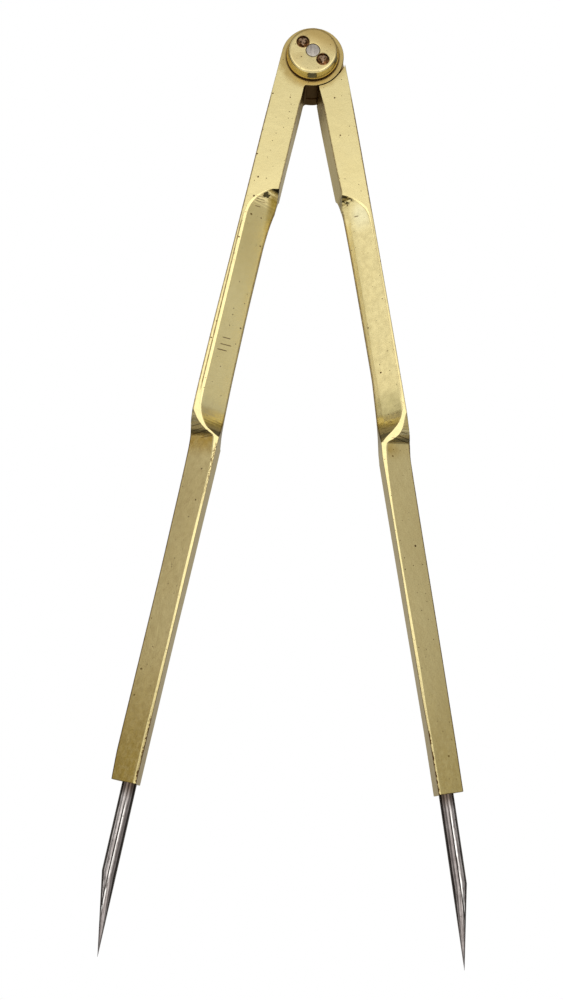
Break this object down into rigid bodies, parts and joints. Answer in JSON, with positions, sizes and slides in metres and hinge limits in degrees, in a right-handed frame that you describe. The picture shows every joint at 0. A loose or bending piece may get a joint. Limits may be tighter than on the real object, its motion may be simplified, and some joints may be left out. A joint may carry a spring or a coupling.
{
  "type": "divider caliper",
  "caption": "Straight brass drawing dividers with steel points, a fork-and-tongue knuckle joint and a two-hole nut that sets the joint's friction.",
  "frame": {"origin": "centre of the flat outer face of the back boss, on the pivot's axis", "axes": "+Z along the pivot toward the two-hole nut, -Y toward the points along the line midway between the legs, +X toward the tongue leg"},
  "size_m": [0.0918, 0.2506, 0.0187],
  "materials": {
    "leg_brass": "polished by hand, fine file grain",
    "nut_brass": "turned, satin face",
    "point_steel": "ground, lengthwise grain",
    "pin_steel": "matte filed end",
    "washer_steel": "dark, dull"
  },
  "bodies": {
    "fork": {"fork_leg": "leg_brass", "fork_point": "point_steel", "pivot_pin": "pin_steel", "nut_washer": "washer_steel", "back_boss": "nut_brass"},
    "tongue": {"tongue_leg": "leg_brass", "tongue_point": "point_steel"},
    "nut": {"spanner_nut": "nut_brass"}
  },
  "joints": [
    {"name": "leg_hinge", "type": "hinge", "parent": "fork", "child": "tongue", "pos_m": [0, 0, 0.0088], "axis": [0, 0, 1], "range_deg": [-21.3, 158.9]},
    {"name": "nut_turn", "type": "hinge", "parent": "fork", "child": "nut", "pos_m": [0, 0, 0.017], "axis": [0, 0, 1], "range_deg": [-45, 45]}
  ]
}
